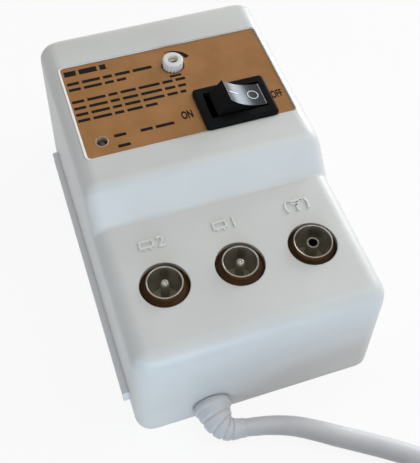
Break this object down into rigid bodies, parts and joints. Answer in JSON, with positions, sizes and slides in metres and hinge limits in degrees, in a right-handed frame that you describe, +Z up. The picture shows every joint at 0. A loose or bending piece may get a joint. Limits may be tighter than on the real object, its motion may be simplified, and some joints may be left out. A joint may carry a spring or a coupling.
{
  "type": "television aerial amplifier",
  "caption": "Mains-powered aerial amplifier in a stepped white case: aerial input, television outputs, rocker switch, gain control, lamp and coiled mains lead.",
  "frame": {"origin": "middle of the case's underside, on the surface that it stands on", "axes": "+X right seen from the cord's end, +Y from the sockets to the face plate, +Z up"},
  "size_m": [0.0995, 0.2272, 0.052],
  "materials": {
    "case_white": "fine moulded texture, warm white",
    "base_white": "moulded, warm white",
    "plate_copper": "copper-toned anodised sheet, satin",
    "switch_black": "glossy black",
    "knob_white": "white nylon",
    "nickel": "nickel plated",
    "insulator_dark": "dark moulded insulator",
    "brass_contact": "plain brass",
    "lamp_red": "dark red diffused lamp, off",
    "board_brown": "paper laminate circuit board",
    "tin_plate": "tinned sheet and plated screws",
    "component_black": "moulded epoxy",
    "ferrite": "sintered ferrite",
    "disc_brown": "dipped ceramic",
    "core_steel": "laminated core steel",
    "bobbin_nylon": "natural nylon",
    "winding_copper": "enamelled copper wire",
    "capacitor_blue": "sleeved can",
    "fuse_glass": "glass tube with metal caps",
    "wire_brown": "insulated wire",
    "wire_blue": "insulated wire",
    "cord_grey": "light grey flexible sheath",
    "tie_black": "nylon band"
  },
  "bodies": {
    "case": {"top_cover": "case_white", "base_plate": "base_white", "cover_screws": "tin_plate", "face_plate": "plate_copper", "switch_housing": "switch_black", "centre_terminal": "brass_contact", "output_terminal": "brass_contact", "gain_pot": "component_black", "power_lamp": "lamp_red", "lamp_leads": "tin_plate", "tv2_shell": "nickel", "tv2_insulator": "insulator_dark", "tv2_pin": "nickel", "tv1_shell": "nickel", "tv1_insulator": "insulator_dark", "tv1_pin": "nickel", "aerial_shell": "nickel", "aerial_insulator": "insulator_dark", "aerial_contact": "nickel", "socket_board": "board_brown", "board_screws": "tin_plate", "screening_can": "tin_plate", "rf_transistors": "component_black", "splitter_core": "ferrite", "disc_capacitors": "disc_brown", "power_board": "board_brown", "power_board_screws": "tin_plate", "transformer_core": "core_steel", "transformer_bobbin": "bobbin_nylon", "transformer_winding": "winding_copper", "rectifier_diodes": "component_black", "smoothing_capacitor": "capacitor_blue", "voltage_regulator": "component_black", "fuse_holder": "component_black", "mains_fuse": "fuse_glass", "terminal_block": "bobbin_nylon", "terminal_screws": "tin_plate", "inner_lead": "cord_grey", "cord_clamp": "tin_plate", "clamp_screws": "tin_plate", "live_wire": "wire_brown", "switched_wire": "wire_brown", "neutral_wire": "wire_blue", "strain_relief": "cord_grey", "mains_cord": "cord_grey", "cord_coil": "cord_grey", "plug_lead": "cord_grey", "coil_tie": "tie_black", "plug_body": "cord_grey", "plug_pins": "nickel"},
    "rocker": {"switch_rocker": "switch_black", "switch_plunger": "bobbin_nylon"},
    "lever": {"contact_lever": "brass_contact"},
    "gain": {"gain_shaft": "knob_white"}
  },
  "joints": [
    {"name": "rocker_tilt", "type": "hinge", "parent": "case", "child": "rocker", "pos_m": [0.0144, 0.01185, 0.0438], "axis": [0, -1, 0], "range_deg": [0, 48]},
    {"name": "lever_tilt", "type": "hinge", "parent": "case", "child": "lever", "pos_m": [0.0144, 0.01185, 0.0382], "axis": [0, 1, 0], "range_deg": [0, 16]},
    {"name": "gain_turn", "type": "hinge", "parent": "case", "child": "gain", "pos_m": [0.00225, 0.03155, 0.048], "axis": [0, 0, 1], "range_deg": [-140, 140]}
  ],
  "couplings": [
    {"joint": "lever_tilt", "follows": "rocker_tilt", "ratio": 0.33333}
  ]
}
